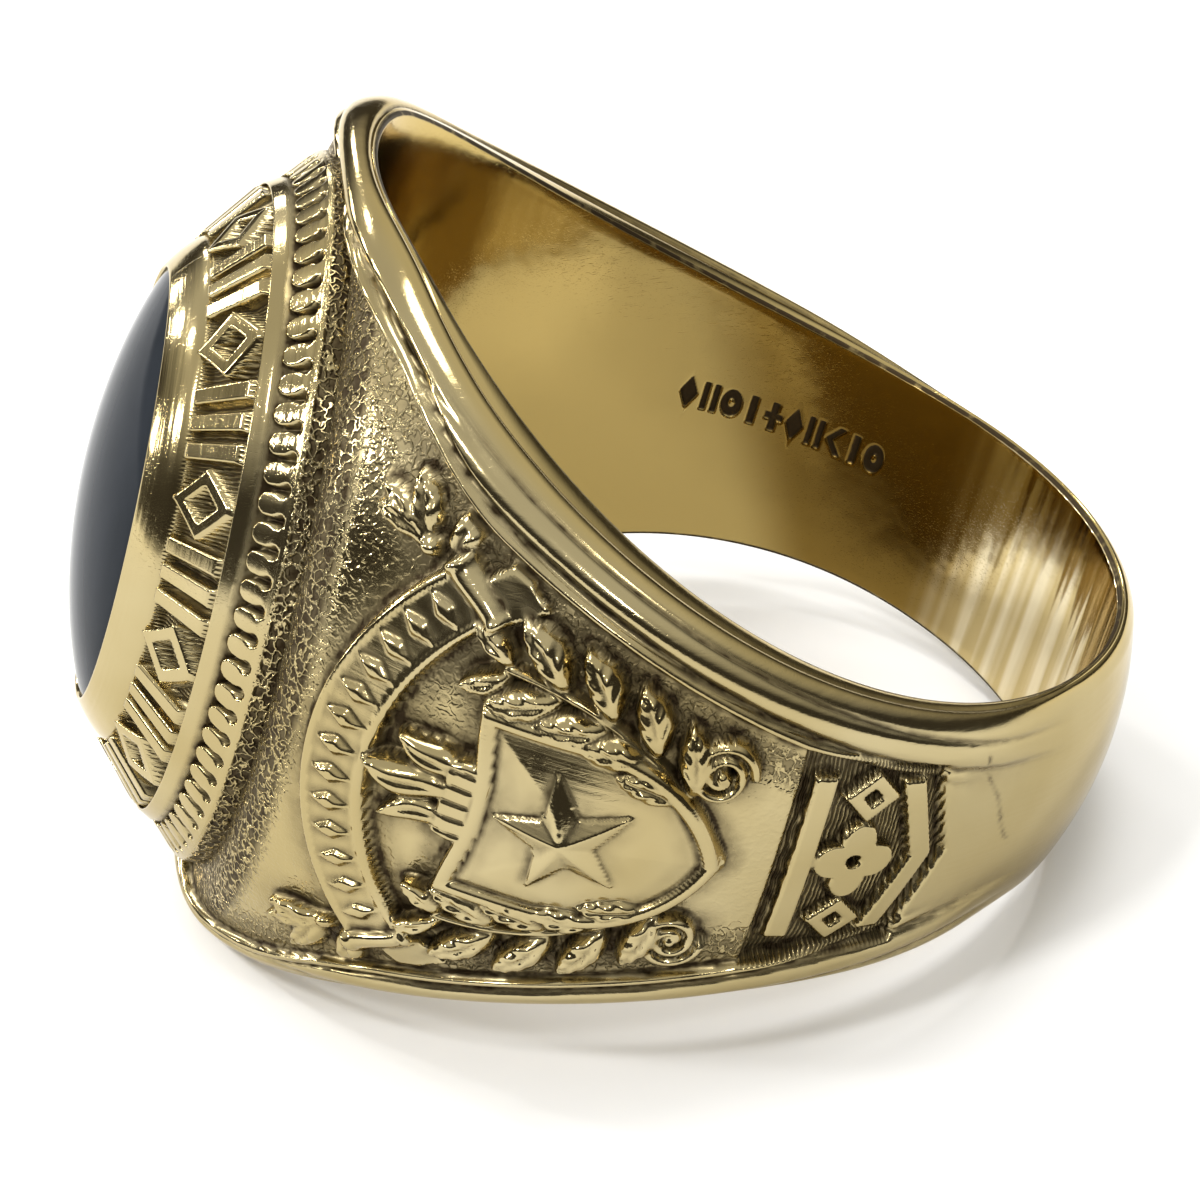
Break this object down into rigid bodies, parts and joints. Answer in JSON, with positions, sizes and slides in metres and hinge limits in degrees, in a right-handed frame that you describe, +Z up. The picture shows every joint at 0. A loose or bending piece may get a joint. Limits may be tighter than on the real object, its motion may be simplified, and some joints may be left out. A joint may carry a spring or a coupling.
{
  "type": "class ring",
  "caption": "Signet-style class ring: flared gold band, stepped oval bezel with a dark cabochon, raised side crests, lying on its side.",
  "frame": {"origin": "middle of the footprint, on the surface that the ring lies on", "axes": "+Z up, +X from the head towards the palm, -Y the side that the picture shows; the finger's axis leans from +Z towards +X"},
  "size_m": [0.0256, 0.0248, 0.018],
  "materials": {
    "gold": "polished yellow gold with dark recesses",
    "cabochon": "polished"
  },
  "bodies": {
    "root": {"ring_body": "gold", "stone": "cabochon"}
  },
  "joints": []
}
